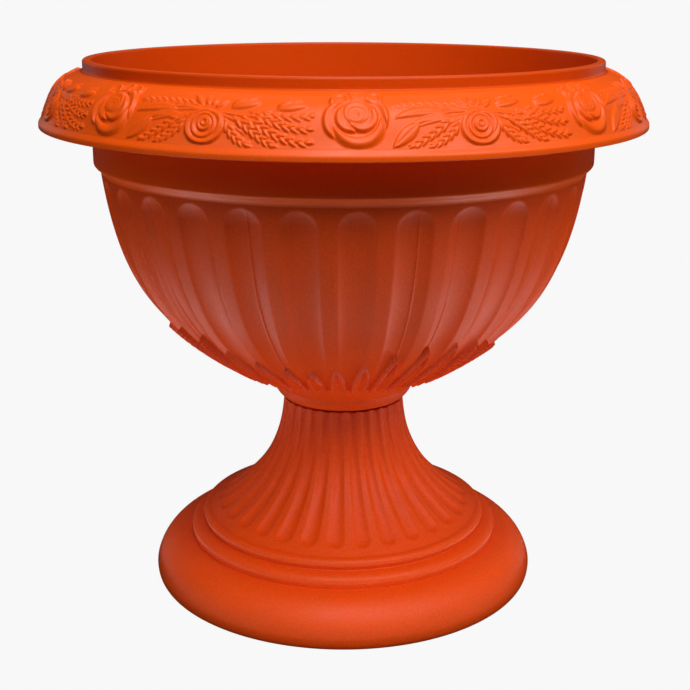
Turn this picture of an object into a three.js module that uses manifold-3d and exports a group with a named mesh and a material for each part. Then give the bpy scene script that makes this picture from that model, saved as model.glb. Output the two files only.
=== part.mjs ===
// Urn planter: a fluted bowl with a drooping rim apron, standing on a fluted pedestal.
// Both are hollow injection mouldings. A bolt and a wing nut hold them together, and four
// push-in plugs close the drain holes in the bowl's floor. Millimetres, +Z up, the origin
// on the ground at the centre of the foot.
import * as THREE from 'three';
import { mergeVertices } from 'three/addons/utils/BufferGeometryUtils.js';
import Module from 'manifold-3d';

const wasm = await Module();
wasm.setup();

// ---- Driving dimensions, millimetres ------------------------------------------------

// Pedestal: radii, and heights above the ground
const PEDESTAL_HEIGHT = 129.4;
const PEDESTAL_WALL = 3.2;
const NECK_R = 42.2;
const NECK_RUN = 29;             // length over which the flare stays close to upright
const NECK_SPREAD = 1.6;         // how far it widens over that length
const FLARE_R = 96;              // foot of the flare, where it turns into the shoulder
const FLARE_Z = 47.2;
const FLARE_REACH_IN = 42;       // how far the flare's sweep reaches in from its foot
const FLARE_REACH_UP = 23.3;
const SHOULDER_R = 101.2;
const SHOULDER_Z = 43;
const UPPER_GROOVE_R = 100.3;
const UPPER_GROOVE_Z = 39.8;
const LEDGE_R = 109.8;
const LEDGE_Z = 34;
const LOWER_GROOVE_R = 109.2;
const LOWER_GROOVE_Z = 30.5;
const FOOT_R = 135.7;            // the foot's widest circle
const FOOT_WIDEST_Z = 7.5;
const FOOT_TOP_REACH = 20;       // how far the foot's top runs level from the groove
const FOOT_SIDE_REACH = 4.7;     // how far its side runs upright from the widest circle
const FOOT_EDGE_R = 131.5;       // outer edge of the flat ring that rests on the ground
const FOOT_RING_WIDTH = 3.6;
const SOCKET_R = 38;             // bore in the neck that takes the bowl's spigot
const SOCKET_DEPTH = 12;
const DECK_THICKNESS = 3.2;      // floor of the socket, which the wing nut pulls against
const WEEP_HOLE_R = 3;
const WEEP_HOLE_COUNT = 4;
const WEEP_CIRCLE_R = 25;

// Bowl: radii, and heights above the underside of its boss
const BOWL_WALL = 3.2;
const BOSS_R = 42.8;
const BOSS_BULGE = 1.2;          // how far the boss swells past a straight cone
const BOSS_CREASE_R = 49.1;
const BOSS_CREASE_Z = 9.1;
const CONE_SAG = 3.5;            // how far the cone above the boss bows out
const BELLY_FOOT_R = 74.9;
const BELLY_FOOT_Z = 25.4;
const BELLY_TOP_R = 161.9;
const BELLY_TOP_Z = 161.3;
const BELLY_REACH_OUT = 57.5;    // sweep of the belly's underside from its foot
const BELLY_REACH_UP = 34.7;
const BELLY_SIDE_RUN = 69.7;     // length over which its side stays close to upright
const BELLY_SIDE_LEAN = 8.6;     // how far it widens over that length
const BAND_R = 166.4;            // plain cylinder under the apron
const BAND_STEP = 8.4;           // height of the rounded step from belly to band
const APRON_R = 200;             // the widest circle of the whole object
const APRON_LIP_Z = 194.6;
const APRON_LIP_DROP = 2.5;
const APRON_BEAD = 2.6;          // width of the flat bead round the apron's lip
const APRON_BEAD_RISE = 3.4;
const APRON_TOP_R = 172;
const APRON_TOP_Z = 226.3;
const APRON_SIDE_IN = 5.6;       // lean and rise of the apron's side from its bead
const APRON_SIDE_UP = 10.1;
const APRON_CREST_OUT = 19;      // run and fall of its crest from the collar
const APRON_CREST_DOWN = 6;
const APRON_WALL = 2.8;
const COLLAR_R = 170.2;
const COLLAR_TOP_Z = 233.7;
const LIP_BORE_R = 164.4;        // inside of the collar
const LIP_ROUND = 1.8;
const FLOOR_THICKNESS = 3.2;
const FLOOR_R = 38.5;            // flat middle of the bowl's floor
const SPIGOT_WALL = 3.2;

// Flutes: concave channels, side by side, with a round end
const FLUTE_SHARE = 2 / 3;       // a flute's part of its pitch; the rest is plain land
const PEDESTAL_FLUTES = 30;
const PEDESTAL_FLUTE_DEPTH = 1.5;
const PEDESTAL_FLUTE_FOOT = 7;   // plain wall between the shoulder and a flute's round foot
const BOWL_FLUTES = 30;
const BOWL_FLUTE_DEPTH = 1.9;
const BOWL_FLUTE_ARCH = 2.4;     // plain wall between a flute's arch and the band's step
const BOWL_FLUTE_FOOT = 26;      // plain wall between the belly's foot and a flute's start
const BOWL_FLUTE_FADE = 40;      // length over which a flute deepens from nothing
const PEDESTAL_TURN = -3.3;      // degrees from the front to the middle of the first flute
const BOWL_TURN = 3;

// Relief cast on the apron's face. A place on the face is [degrees, share]: degrees round
// from a full rose, and share of the face's way up from its bead to the collar.
const RELIEF_REPEATS = 8;
const RELIEF_TURN = -0.8;        // degrees from the middle of the first flute to a full rose
const RELIEF_ROOT = 1.2;         // how deep each form is sunk into the face
const ROSE_CREST = 1.9;          // height of a rose's inner petals and of its heart
const ROSE_EDGE = 1.3;           // height of its outer petals
const ROSE_HOLLOW = 0.5;         // height between the two rows of petals
const ROSE_EDGE_PART = 0.92;     // radii of those three rows, as parts of a rose's radius
const ROSE_HOLLOW_PART = 0.62;
const ROSE_CREST_PART = 0.52;
const PETAL_NOTCH = 0.88;        // a rose's radius between two petals, as a part of the full one
const FULL_ROSE_AT = [-0.3, 0.48];
const FULL_ROSE_SHARE = 0.44;    // its radius, as a share of the face's length
const FULL_ROSE_PETALS = 5;
const SMALL_ROSE_AT = [20, 0.3];
const SMALL_ROSE_SHARE = 0.28;
const SMALL_ROSE_PETALS = 4;
const EAR_WIDTH = 5.4;
const EAR_HEIGHT = 1.6;
const EARS = [                   // from foot over the bend to tip
  [[23.6, 0.39], [25.1, 0.16], [28.2, 0.04]],
  [[25.1, 0.42], [28.9, 0.19], [32.3, 0.05]],
  [[26.5, 0.44], [32.5, 0.12], [38.1, 0.11]],
  [[28, 0.46], [33.1, 0.29], [38, 0.28]],
  [[27.7, 0.51], [33.1, 0.42], [38.4, 0.47]],
  [[16.7, 0.39], [14.4, 0.15], [11.1, 0.04]],
  [[15.6, 0.41], [12, 0.2], [8, 0.04]],
  [[18.2, 0.58], [12.6, 0.67], [6.1, 0.63]],
];
const LEAF_WIDTH = 6.6;
const LEAF_HEIGHT = 1.3;
const FULL_WIDTH_FROM = 0.3;     // parts of an ear's or a leaf's midrib between which it is
const FULL_WIDTH_TO = 0.7;       // at its full width
const LEAVES = [
  [[9.6, 0.37], [7.1, 0.2], [5.3, 0.05]],
  [[23.9, 0.61], [26.2, 0.7], [28.8, 0.7]],
  [[31.6, 0.6], [34.1, 0.68], [36.6, 0.66]],
];

// Bolt, washers and wing nut
const BOLT_R = 6;
const BOLT_POINT = 1.5;          // chamfer at the bolt's end
const BOLT_HEAD_R = 15;
const BOLT_HEAD_HEIGHT = 6.5;
const BOLT_PAST_NUT = 3;
const COIN_SLOT_WIDTH = 3;
const COIN_SLOT_DEPTH = 3.5;
const SEALING_WASHER_R = 14;
const SEALING_WASHER_THICKNESS = 2.5;
const NUT_WASHER_R = 16;
const NUT_WASHER_THICKNESS = 1.6;
const NUT_HUB_R = 10.5;
const NUT_HUB_HEIGHT = 11;
const WING_SPAN_R = 26;
const WING_THICKNESS = 5;
const WING_HEIGHT = 16;

// Drain plugs
const PLUG_COUNT = 4;
const PLUG_CIRCLE_R = 27;
const PLUG_STEM_R = 4.2;
const PLUG_STEM_PAST_FLOOR = 4;
const PLUG_CAP_R = 7.4;
const PLUG_CAP_HEIGHT = 2.4;
const PLUG_TAB_WIDTH = 7;
const PLUG_TAB_THICKNESS = 2.2;
const PLUG_TAB_HEIGHT = 6;

// Clearances
const JOINT_GAP = 1.3;           // open line between the neck's rim and the boss
const SEAT_GAP = 0.3;            // between faces that rest on each other
const SPIGOT_CLEARANCE = 0.4;    // spigot in the neck's bore
const BOLT_CLEARANCE = 0.5;      // shank in the floor and the deck
const THREAD_CLEARANCE = 0.3;    // shank in the washers and the nut
const PLUG_CLEARANCE = 0.3;      // plug stems in the floor

// How many flats stand for a round
const FLUTE_STEPS = 5;           // points across one flute and the land beside it
const RIM_STEPS = 60;
const INNER_STEPS = 40;
const SMALL_STEPS = 20;

// ---- Heights above the ground that follow -------------------------------------------

const deckTop = PEDESTAL_HEIGHT - SOCKET_DEPTH;
const deckBottom = deckTop - DECK_THICKNESS;
const bowlZ = PEDESTAL_HEIGHT + JOINT_GAP;
const spigotBottom = deckTop + SEAT_GAP;
const floorTop = bowlZ + FLOOR_THICKNESS;
const sealingWasherZ = floorTop + SEAT_GAP;
const boltHeadZ = sealingWasherZ + SEALING_WASHER_THICKNESS + SEAT_GAP;
const nutWasherZ = deckBottom - SEAT_GAP - NUT_WASHER_THICKNESS;
const nutTop = nutWasherZ - SEAT_GAP;
const boltEndZ = nutTop - NUT_HUB_HEIGHT - BOLT_PAST_NUT;

// ---- Solids made of rings -----------------------------------------------------------

// Point at a radius and a height, at an angle that runs from the front, -Y, towards +X.
const pointAt = (angle, [r, z]) => [r * Math.sin(angle), -r * Math.cos(angle), z];

// A ring is a closed row of points. round() makes one about the axis: at(angle) gives its
// radius and height. A ring of one point is a pole.
const ring = (count, point) => (
  Array.from({ length: count }, (_, k) => point((2 * Math.PI * k) / count, k))
);
const round = (count, at) => ring(count, (angle) => pointAt(angle, at(angle)));
const circle = (count, r, z) => round(count, () => [r, z]);
const pole = (z) => circle(1, 0, z);

// Joins rings, which may differ in count, into one closed skin. The first and the last are
// poles, and each ring runs counterclockwise as seen from the last pole. Rings about the
// axis so follow the outline of the section from axis to axis, the material on its left.
function solidOfRings(rings) {
  const positions = [];
  const firsts = [];
  for (const points of rings) {
    firsts.push(positions.length / 3);
    positions.push(...points.flat());
  }
  const indices = [];
  for (let row = 0; row + 1 < rings.length; row += 1) {
    const lowerCount = rings[row].length;
    const upperCount = rings[row + 1].length;
    const lowerPoint = (k) => firsts[row] + (k % lowerCount);
    const upperPoint = (k) => firsts[row + 1] + (k % upperCount);
    let i = 0;
    let j = 0;
    while (i < lowerCount || j < upperCount) {
      const lowerIsNext = (i + 1) / lowerCount <= (j + 1) / upperCount;
      if (i < lowerCount && (lowerIsNext || j === upperCount)) {
        if (lowerCount > 1) {
          indices.push(lowerPoint(i), lowerPoint(i + 1), upperPoint(j));
        }
        i += 1;
      } else {
        if (upperCount > 1) {
          indices.push(lowerPoint(i), upperPoint(j + 1), upperPoint(j));
        }
        j += 1;
      }
    }
  }
  const geometry = new THREE.BufferGeometry();
  geometry.setAttribute('position', new THREE.Float32BufferAttribute(positions, 3));
  geometry.setIndex(indices);
  return geometry;
}

// ---- Curves of the section, in radius and height ------------------------------------

const vectors = (points) => points.map(([r, z]) => new THREE.Vector2(r, z));
const bend = (...points) => new THREE.QuadraticBezierCurve(...vectors(points));
const sweep = (...points) => new THREE.CubicBezierCurve(...vectors(points));

// Point at a share of a curve's length, moved by depth to the left of the way it runs,
// which is into the material.
function pointUnder(curve, share, depth) {
  const point = curve.getPointAt(share);
  const way = curve.getTangentAt(share);
  return [point.x - way.y * depth, point.y + way.x * depth];
}

// Circles along a curve, or along a parallel of it at some depth, at the given shares.
function circlesAlong(curve, count, shares, depth = 0) {
  return shares.map((share) => circle(count, ...pointUnder(curve, share, depth)));
}

// Shares from one end to the other in equal steps, both ends included.
function evenShares(steps, from = 0, to = 1) {
  return Array.from({ length: steps + 1 }, (_, k) => from + ((to - from) * k) / steps);
}

// Share of a curve's length at which its height is z, for a curve that only rises.
function shareAtHeight(curve, z) {
  let [low, high] = [0, 1];
  for (let halving = 0; halving < 30; halving += 1) {
    const middle = (low + high) / 2;
    if (curve.getPointAt(middle).y < z) {
      low = middle;
    } else {
      high = middle;
    }
  }
  return low;
}

// ---- Flutes -------------------------------------------------------------------------

// Rows of rings for a fluted stretch of wall. toEnd gives the distance from a share of the
// curve to the flutes' round end, and strength what part of the full depth they have there.
// Across a flute the depth is a parabola, and the round end is the same parabola turned.
function flutedRings(curve, shares, { count, depth, toEnd, strength }) {
  const pitch = (2 * Math.PI) / count;
  const halfWidth = (FLUTE_SHARE * pitch) / 2;
  return shares.map((share) => {
    const endRadius = halfWidth * curve.getPointAt(share).x;
    const pastEnd = Math.max(0, 1 - toEnd(share) / endRadius);
    return round(count * FLUTE_STEPS, (angle) => {
      const across = ((angle / pitch - Math.round(angle / pitch)) * pitch) / halfWidth;
      const hollow = Math.max(0, 1 - across * across - pastEnd * pastEnd);
      return pointUnder(curve, share, depth * strength(share) * hollow);
    });
  });
}

// ---- Joining and cutting ------------------------------------------------------------

function toSolid(geometry) {
  const bare = geometry.clone();
  bare.deleteAttribute('normal');
  bare.deleteAttribute('uv');
  const merged = mergeVertices(bare);
  const vertProperties = new Float32Array(merged.attributes.position.array);
  const triVerts = new Uint32Array(merged.index.array);
  return new wasm.Manifold(new wasm.Mesh({ numProp: 3, vertProperties, triVerts }));
}

function toGeometry(solid) {
  const mesh = solid.getMesh();
  const geometry = new THREE.BufferGeometry();
  geometry.setAttribute('position', new THREE.Float32BufferAttribute(mesh.vertProperties, 3));
  geometry.setIndex(Array.from(mesh.triVerts));
  return geometry;
}

const joined = (...pieces) => (
  toGeometry(pieces.map(toSolid).reduce((whole, piece) => whole.add(piece)))
);
const cut = (geometry, tools) => (
  toGeometry(tools.map(toSolid).reduce((rest, tool) => rest.subtract(tool), toSolid(geometry)))
);

// An upright round bar, which may taper to another radius at its lower end.
function bar(r, bottom, top, lowerR = r) {
  const geometry = new THREE.CylinderGeometry(r, lowerR, top - bottom, SMALL_STEPS);
  geometry.rotateX(Math.PI / 2);
  geometry.translate(0, 0, (top + bottom) / 2);
  return geometry;
}

function block(width, depth, bottom, top) {
  const geometry = new THREE.BoxGeometry(width, depth, top - bottom);
  geometry.translate(0, 0, (top + bottom) / 2);
  return geometry;
}

// Places spread evenly round the axis, the first at an angle from +X.
function spread(count, r, firstAngle = 0) {
  return Array.from({ length: count }, (_, k) => {
    const angle = firstAngle + (2 * Math.PI * k) / count;
    return new THREE.Vector3(r * Math.cos(angle), r * Math.sin(angle), 0);
  });
}

// Round tools that drill holes at places, through a wall between two heights.
function drills(r, bottom, top, places) {
  const margin = 1;
  return places.map((place) => (
    bar(r, bottom - margin, top + margin).translate(place.x, place.y, 0)
  ));
}

const onAxis = new THREE.Vector3();

// ---- Relief on the apron's face -----------------------------------------------------

// The roses, ears and leaves of all repeats, each a solid rooted in the face.
function reliefGeometries(face) {
  const length = face.getLength();
  const toDegrees = (across) => THREE.MathUtils.radToDeg(across / face.getPointAt(0.5).x);

  // The point at a height over a place on the face.
  const over = ([degrees, share], height) => (
    pointAt(THREE.MathUtils.degToRad(degrees), pointUnder(face, share, -height))
  );

  // Two rows of petals about a heart. The inner row is turned by half a petal.
  function rose([degrees, share], radiusShare, petals) {
    const row = (part, height, turned) => ring(2 * petals, (angle, k) => {
      const reach = radiusShare * part * ((k + turned) % 2 ? PETAL_NOTCH : 1);
      const across = toDegrees(reach * length * Math.cos(angle));
      return over([degrees + across, share + reach * Math.sin(angle)], height);
    });
    return solidOfRings([
      [over([degrees, share], -RELIEF_ROOT)],
      row(1, -RELIEF_ROOT, 0),
      row(ROSE_EDGE_PART, ROSE_EDGE, 0),
      row(ROSE_HOLLOW_PART, ROSE_HOLLOW, 1),
      row(ROSE_CREST_PART, ROSE_CREST, 1),
      [over([degrees, share], ROSE_CREST)],
    ]);
  }

  // A pointed ridge along a bent midrib, which ends in a tip on both sides.
  function ridge(places, width, height) {
    const midrib = bend(...places);
    const section = (t) => {
      const middle = midrib.getPoint(t);
      const way = midrib.getTangent(t);
      way.set(way.x / toDegrees(1), way.y * length).normalize().multiplyScalar(width / 2);
      const side = (sign) => [
        middle.x - sign * toDegrees(way.y),
        middle.y + (sign * way.x) / length,
      ];
      return [
        over(side(1), -RELIEF_ROOT),
        over([middle.x, middle.y], height),
        over(side(-1), -RELIEF_ROOT),
      ];
    };
    return solidOfRings([
      [over(places[0], -RELIEF_ROOT)],
      section(FULL_WIDTH_FROM),
      section(FULL_WIDTH_TO),
      [over(places[2], -RELIEF_ROOT)],
    ]);
  }

  const pitch = (2 * Math.PI) / RELIEF_REPEATS;
  const forms = [
    ...EARS.map((places) => ridge(places, EAR_WIDTH, EAR_HEIGHT)),
    ...LEAVES.map((places) => ridge(places, LEAF_WIDTH, LEAF_HEIGHT)),
    rose(SMALL_ROSE_AT, SMALL_ROSE_SHARE, SMALL_ROSE_PETALS),
    rose(FULL_ROSE_AT, FULL_ROSE_SHARE, FULL_ROSE_PETALS),
  ];
  const turn = THREE.MathUtils.degToRad(RELIEF_TURN);
  return Array.from({ length: RELIEF_REPEATS }, (_, k) => (
    forms.map((form) => form.clone().rotateZ(turn + k * pitch))
  )).flat();
}

// ---- Pedestal -----------------------------------------------------------------------

function pedestalGeometry() {
  const flare = sweep(
    [FLARE_R, FLARE_Z],
    [FLARE_R - FLARE_REACH_IN, FLARE_Z + FLARE_REACH_UP],
    [NECK_R + NECK_SPREAD, PEDESTAL_HEIGHT - NECK_RUN],
    [NECK_R, PEDESTAL_HEIGHT],
  );
  const footEdge = bend(
    [FOOT_EDGE_R, 0],
    [FOOT_R, 0],
    [FOOT_R, FOOT_WIDEST_Z],
  );
  const footTop = sweep(
    [FOOT_R, FOOT_WIDEST_Z],
    [FOOT_R, FOOT_WIDEST_Z + FOOT_SIDE_REACH],
    [LOWER_GROOVE_R + FOOT_TOP_REACH, LOWER_GROOVE_Z],
    [LOWER_GROOVE_R, LOWER_GROOVE_Z],
  );
  const ledge = bend(
    [LEDGE_R, LEDGE_Z],
    [LEDGE_R, UPPER_GROOVE_Z],
    [UPPER_GROOVE_R, UPPER_GROOVE_Z],
  );
  const shoulder = bend(
    [SHOULDER_R, SHOULDER_Z],
    [SHOULDER_R, FLARE_Z],
    [FLARE_R, FLARE_Z],
  );
  const flareLength = flare.getLength();
  const fluteFoot = PEDESTAL_FLUTE_FOOT / flareLength;
  const footRound = (FLUTE_SHARE * Math.PI * FLARE_R) / PEDESTAL_FLUTES / flareLength;
  const fluteShares = [
    ...[0, 0.15, 0.5].map((part) => fluteFoot + footRound * part),
    ...evenShares(6, fluteFoot + footRound, 1),
  ];
  const deckShare = shareAtHeight(flare, deckBottom);
  const [deckR] = pointUnder(flare, deckShare, PEDESTAL_WALL);
  const rings = [
    pole(deckBottom),
    circle(INNER_STEPS, deckR, deckBottom),
    ...circlesAlong(flare, INNER_STEPS, evenShares(4, 0.85 * deckShare, 0), PEDESTAL_WALL),
    circle(INNER_STEPS, UPPER_GROOVE_R - PEDESTAL_WALL, UPPER_GROOVE_Z - PEDESTAL_WALL),
    ...circlesAlong(footTop, INNER_STEPS, evenShares(4, 1, 0), PEDESTAL_WALL),
    circle(INNER_STEPS, FOOT_EDGE_R - FOOT_RING_WIDTH, 0),
    ...circlesAlong(footEdge, RIM_STEPS, evenShares(3)),
    ...circlesAlong(footTop, RIM_STEPS, evenShares(7).slice(1)),
    ...circlesAlong(ledge, RIM_STEPS, evenShares(3)),
    ...circlesAlong(shoulder, RIM_STEPS, evenShares(3)),
    ...flutedRings(flare, fluteShares, {
      count: PEDESTAL_FLUTES,
      depth: PEDESTAL_FLUTE_DEPTH,
      toEnd: (share) => (share - fluteFoot) * flareLength,
      strength: () => 1,
    }),
    circle(INNER_STEPS, SOCKET_R, PEDESTAL_HEIGHT),
    circle(INNER_STEPS, SOCKET_R, deckTop),
    pole(deckTop),
  ];
  const weepHoles = spread(WEEP_HOLE_COUNT, WEEP_CIRCLE_R);
  return cut(solidOfRings(rings), [
    ...drills(BOLT_R + BOLT_CLEARANCE, deckBottom, deckTop, [onAxis]),
    ...drills(WEEP_HOLE_R, deckBottom, deckTop, weepHoles),
  ]);
}

// ---- Bowl, with heights from the underside of its boss ------------------------------

const plugPlaces = spread(PLUG_COUNT, PLUG_CIRCLE_R, Math.PI / PLUG_COUNT);

function bowlGeometry() {
  const boss = bend(
    [BOSS_R, 0],
    [(BOSS_R + BOSS_CREASE_R) / 2 + BOSS_BULGE, BOSS_CREASE_Z / 2 - BOSS_BULGE],
    [BOSS_CREASE_R, BOSS_CREASE_Z],
  );
  const cone = bend(
    [BOSS_CREASE_R, BOSS_CREASE_Z],
    [(BOSS_CREASE_R + BELLY_FOOT_R) / 2, (BOSS_CREASE_Z + BELLY_FOOT_Z) / 2 + CONE_SAG],
    [BELLY_FOOT_R, BELLY_FOOT_Z],
  );
  const belly = sweep(
    [BELLY_FOOT_R, BELLY_FOOT_Z],
    [BELLY_FOOT_R + BELLY_REACH_OUT, BELLY_FOOT_Z + BELLY_REACH_UP],
    [BELLY_TOP_R - BELLY_SIDE_LEAN, BELLY_TOP_Z - BELLY_SIDE_RUN],
    [BELLY_TOP_R, BELLY_TOP_Z],
  );
  const bandStep = sweep(
    [BELLY_TOP_R, BELLY_TOP_Z],
    [BELLY_TOP_R, BELLY_TOP_Z + BAND_STEP / 2],
    [BAND_R, BELLY_TOP_Z + BAND_STEP / 2],
    [BAND_R, BELLY_TOP_Z + BAND_STEP],
  );
  const beadR = APRON_R - APRON_BEAD;
  const beadZ = APRON_LIP_Z + APRON_BEAD_RISE;
  const apron = sweep(
    [beadR, beadZ],
    [beadR - APRON_SIDE_IN, beadZ + APRON_SIDE_UP],
    [APRON_TOP_R + APRON_CREST_OUT, APRON_TOP_Z - APRON_CREST_DOWN],
    [APRON_TOP_R, APRON_TOP_Z],
  );
  const bellyLength = belly.getLength();
  const archShare = 1 - BOWL_FLUTE_ARCH / bellyLength;
  const archRound = (FLUTE_SHARE * Math.PI * BELLY_TOP_R) / BOWL_FLUTES / bellyLength;
  const fluteStart = BOWL_FLUTE_FOOT / bellyLength;
  const fadeShare = BOWL_FLUTE_FADE / bellyLength;
  const fluteShares = [
    ...evenShares(6, fluteStart, archShare - archRound),
    ...[0.5, 0.15, 0].map((part) => archShare - archRound * part),
  ];
  const spigotR = SOCKET_R - SPIGOT_CLEARANCE;
  const spigotZ = spigotBottom - bowlZ;
  const collarFootZ = APRON_TOP_Z + LIP_ROUND;
  const rings = [
    pole(0),
    circle(INNER_STEPS, spigotR - SPIGOT_WALL, 0),
    circle(INNER_STEPS, spigotR - SPIGOT_WALL, spigotZ),
    circle(INNER_STEPS, spigotR, spigotZ),
    circle(INNER_STEPS, spigotR, 0),
    ...circlesAlong(boss, RIM_STEPS, evenShares(3)),
    ...circlesAlong(cone, RIM_STEPS, evenShares(3).slice(1)),
    circle(RIM_STEPS, ...pointUnder(belly, fluteStart / 2, 0)),
    ...flutedRings(belly, fluteShares, {
      count: BOWL_FLUTES,
      depth: BOWL_FLUTE_DEPTH,
      toEnd: (share) => (archShare - share) * bellyLength,
      strength: (share) => Math.min(1, (share - fluteStart) / fadeShare),
    }),
    ...circlesAlong(bandStep, RIM_STEPS, evenShares(2)),
    circle(RIM_STEPS, BAND_R, APRON_TOP_Z - 1.5 * APRON_WALL),
    ...circlesAlong(apron, INNER_STEPS, evenShares(3, 0.85, 0), APRON_WALL),
    circle(RIM_STEPS, APRON_R - APRON_WALL, APRON_LIP_Z - APRON_LIP_DROP),
    circle(RIM_STEPS, APRON_R, APRON_LIP_Z - APRON_LIP_DROP),
    circle(RIM_STEPS, APRON_R, APRON_LIP_Z),
    ...circlesAlong(apron, RIM_STEPS, evenShares(5)),
    circle(RIM_STEPS, COLLAR_R, collarFootZ),
    circle(RIM_STEPS, COLLAR_R, COLLAR_TOP_Z - LIP_ROUND),
    circle(RIM_STEPS, COLLAR_R - LIP_ROUND, COLLAR_TOP_Z),
    circle(RIM_STEPS, LIP_BORE_R + LIP_ROUND, COLLAR_TOP_Z),
    circle(INNER_STEPS, LIP_BORE_R, COLLAR_TOP_Z - LIP_ROUND),
    circle(INNER_STEPS, BAND_R - BOWL_WALL, BELLY_TOP_Z + BAND_STEP),
    ...circlesAlong(belly, INNER_STEPS, evenShares(6, 1, 0), BOWL_WALL),
    ...circlesAlong(cone, INNER_STEPS, [0.5, 0], BOWL_WALL),
    circle(INNER_STEPS, FLOOR_R, FLOOR_THICKNESS),
    pole(FLOOR_THICKNESS),
  ];
  return cut(joined(solidOfRings(rings), ...reliefGeometries(apron)), [
    ...drills(BOLT_R + BOLT_CLEARANCE, 0, FLOOR_THICKNESS, [onAxis]),
    ...drills(PLUG_STEM_R + PLUG_CLEARANCE, 0, FLOOR_THICKNESS, plugPlaces),
  ]);
}

// ---- Bolt, washers, wing nut --------------------------------------------------------

// Heights from the underside of the head.
function boltGeometry() {
  const end = boltEndZ - boltHeadZ;
  const blank = joined(
    bar(BOLT_R, end + BOLT_POINT, BOLT_HEAD_HEIGHT / 2),
    bar(BOLT_R, end, end + BOLT_POINT, BOLT_R - BOLT_POINT),
    bar(BOLT_HEAD_R, 0, BOLT_HEAD_HEIGHT),
  );
  const slotBottom = BOLT_HEAD_HEIGHT - COIN_SLOT_DEPTH;
  const slot = block(3 * BOLT_HEAD_R, COIN_SLOT_WIDTH, slotBottom, 2 * BOLT_HEAD_HEIGHT);
  return cut(blank, [slot]);
}

// Heights from the underside.
function washerGeometry(r, thickness) {
  const hole = drills(BOLT_R + THREAD_CLEARANCE, 0, thickness, [onAxis]);
  return cut(bar(r, 0, thickness), hole);
}

// Heights from the top face, which bears on the washer.
function wingNutGeometry() {
  const tipRound = WING_HEIGHT / 2;
  const wings = new THREE.Shape();
  wings.moveTo(tipRound - WING_SPAN_R, 0);
  wings.lineTo(0, 0);
  wings.lineTo(WING_SPAN_R - tipRound, 0);
  wings.absarc(WING_SPAN_R - tipRound, -tipRound, tipRound, Math.PI / 2, -Math.PI / 2, true);
  wings.lineTo(0, -NUT_HUB_HEIGHT / 2);
  wings.lineTo(tipRound - WING_SPAN_R, -WING_HEIGHT);
  wings.absarc(tipRound - WING_SPAN_R, -tipRound, tipRound, -Math.PI / 2, Math.PI / 2, true);
  const blade = new THREE.ExtrudeGeometry(wings, {
    depth: WING_THICKNESS,
    bevelEnabled: false,
    curveSegments: SMALL_STEPS / 3,
  });
  blade.translate(0, 0, -WING_THICKNESS / 2);
  blade.rotateX(Math.PI / 2);
  blade.translate(0, 0, -SEAT_GAP);
  const body = joined(bar(NUT_HUB_R, -NUT_HUB_HEIGHT, 0), blade);
  return cut(body, drills(BOLT_R + THREAD_CLEARANCE, -WING_HEIGHT, 0, [onAxis]));
}

// ---- Drain plug, with heights from the underside of its cap -------------------------

function plugGeometry() {
  const stemEnd = -SEAT_GAP - FLOOR_THICKNESS - PLUG_STEM_PAST_FLOOR;
  const tab = block(
    PLUG_TAB_WIDTH,
    PLUG_TAB_THICKNESS,
    PLUG_CAP_HEIGHT / 2,
    PLUG_CAP_HEIGHT + PLUG_TAB_HEIGHT,
  );
  return joined(
    bar(PLUG_STEM_R, stemEnd, PLUG_CAP_HEIGHT / 2),
    bar(PLUG_CAP_R, 0, PLUG_CAP_HEIGHT),
    tab,
  );
}

// ---- Assembly -----------------------------------------------------------------------

const polypropylene = new THREE.MeshStandardMaterial({ color: 0xc8481e, roughness: 0.5 });
const mattPolypropylene = new THREE.MeshStandardMaterial({ color: 0xb8421f, roughness: 0.62 });
const fittingPlastic = new THREE.MeshStandardMaterial({ color: 0xa83a1a, roughness: 0.45 });
const rubber = new THREE.MeshStandardMaterial({ color: 0x1c1a19, roughness: 0.85 });

function part(name, geometry, material, z, place = onAxis) {
  const mesh = new THREE.Mesh(geometry, material);
  mesh.name = name;
  mesh.position.set(place.x, place.y, z);
  return mesh;
}

function turnedGroup(degrees, ...parts) {
  const group = new THREE.Group();
  group.rotation.z = THREE.MathUtils.degToRad(degrees);
  return group.add(...parts);
}

const sealingWasher = washerGeometry(SEALING_WASHER_R, SEALING_WASHER_THICKNESS);
const nutWasher = washerGeometry(NUT_WASHER_R, NUT_WASHER_THICKNESS);

const lowerGroup = turnedGroup(
  PEDESTAL_TURN,
  part('pedestal', pedestalGeometry(), mattPolypropylene, 0),
  part('nut_washer', nutWasher, fittingPlastic, nutWasherZ),
  part('wing_nut', wingNutGeometry(), fittingPlastic, nutTop),
);

const upperGroup = turnedGroup(
  BOWL_TURN,
  part('bowl', bowlGeometry(), polypropylene, bowlZ),
  part('sealing_washer', sealingWasher, rubber, sealingWasherZ),
  part('clamp_bolt', boltGeometry(), fittingPlastic, boltHeadZ),
  ...plugPlaces.map((place, k) => (
    part(`drain_plug_${k + 1}`, plugGeometry(), fittingPlastic, floorTop + SEAT_GAP, place)
  )),
);

export default new THREE.Group().add(lowerGroup, upperGroup);
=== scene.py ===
import math

import bmesh
import bpy
import numpy as np
from mathutils import Matrix, Vector


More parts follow.
